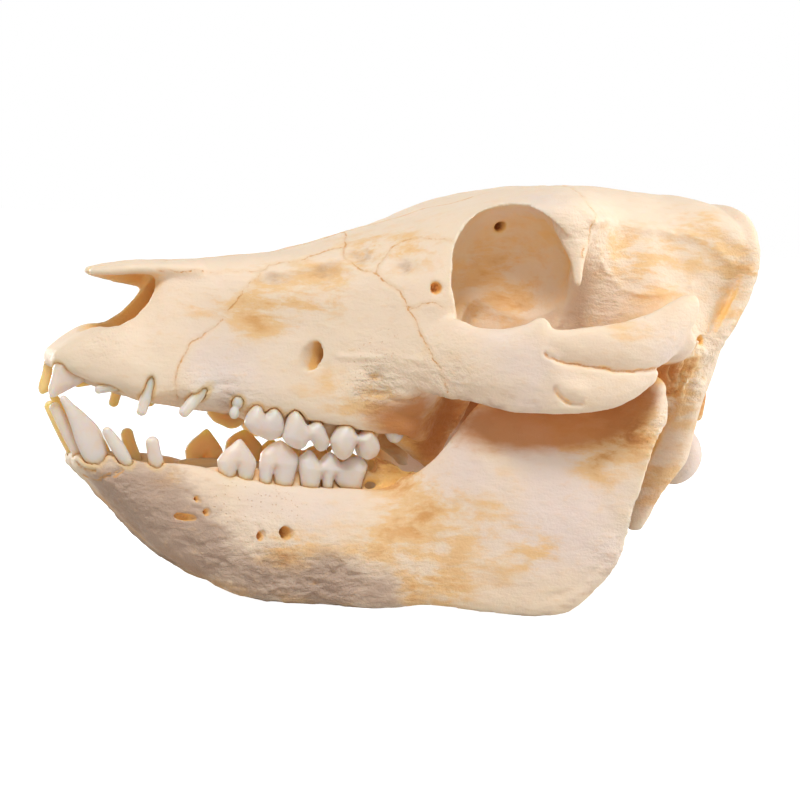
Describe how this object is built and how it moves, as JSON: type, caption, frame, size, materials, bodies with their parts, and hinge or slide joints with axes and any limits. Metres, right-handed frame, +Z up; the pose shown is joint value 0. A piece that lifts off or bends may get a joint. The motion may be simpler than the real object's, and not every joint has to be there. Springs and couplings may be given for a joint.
{
  "type": "domestic pig skull",
  "caption": "Dry skull of a young pig: a long cranium with deep eye sockets and open cheek arches, resting on its separate jawbone, with milk teeth standing in their sockets.",
  "frame": {"origin": "middle of the base of the bounding box, on the surface that the jawbone's lower edge rests on", "axes": "+X from the snout to the back of the head, +Y to the animal's right, +Z up"},
  "size_m": [0.1929, 0.0965, 0.1164],
  "materials": {
    "cranium_bone": "matte dry bone, cream with pinkish-white areas and yellow-orange stains",
    "mandible_bone": "matte dry bone, finely grained, with yellow-orange stains",
    "tooth_enamel": "slightly glossy ivory-white enamel, yellower at the neck"
  },
  "bodies": {
    "root": {"cranium": "cranium_bone", "mandible": "mandible_bone", "upper_incisor_1_left": "tooth_enamel", "upper_incisor_1_right": "tooth_enamel", "upper_incisor_2_left": "tooth_enamel", "upper_incisor_2_right": "tooth_enamel", "upper_incisor_3_left": "tooth_enamel", "upper_incisor_3_right": "tooth_enamel", "upper_canine_left": "tooth_enamel", "upper_canine_right": "tooth_enamel", "upper_premolar_1_left": "tooth_enamel", "upper_premolar_1_right": "tooth_enamel", "upper_premolar_2_left": "tooth_enamel", "upper_premolar_2_right": "tooth_enamel", "upper_premolar_3_left": "tooth_enamel", "upper_premolar_3_right": "tooth_enamel", "upper_premolar_4_left": "tooth_enamel", "upper_premolar_4_right": "tooth_enamel", "upper_molar_1_left": "tooth_enamel", "upper_molar_1_right": "tooth_enamel", "lower_incisor_1_left": "tooth_enamel", "lower_incisor_1_right": "tooth_enamel", "lower_incisor_2_left": "tooth_enamel", "lower_incisor_2_right": "tooth_enamel", "lower_incisor_3_left": "tooth_enamel", "lower_incisor_3_right": "tooth_enamel", "lower_canine_left": "tooth_enamel", "lower_canine_right": "tooth_enamel", "lower_premolar_2_left": "tooth_enamel", "lower_premolar_2_right": "tooth_enamel", "lower_premolar_3_left": "tooth_enamel", "lower_premolar_3_right": "tooth_enamel", "lower_premolar_4_left": "tooth_enamel", "lower_premolar_4_right": "tooth_enamel", "lower_molar_1_left": "tooth_enamel", "lower_molar_1_right": "tooth_enamel"}
  },
  "joints": []
}
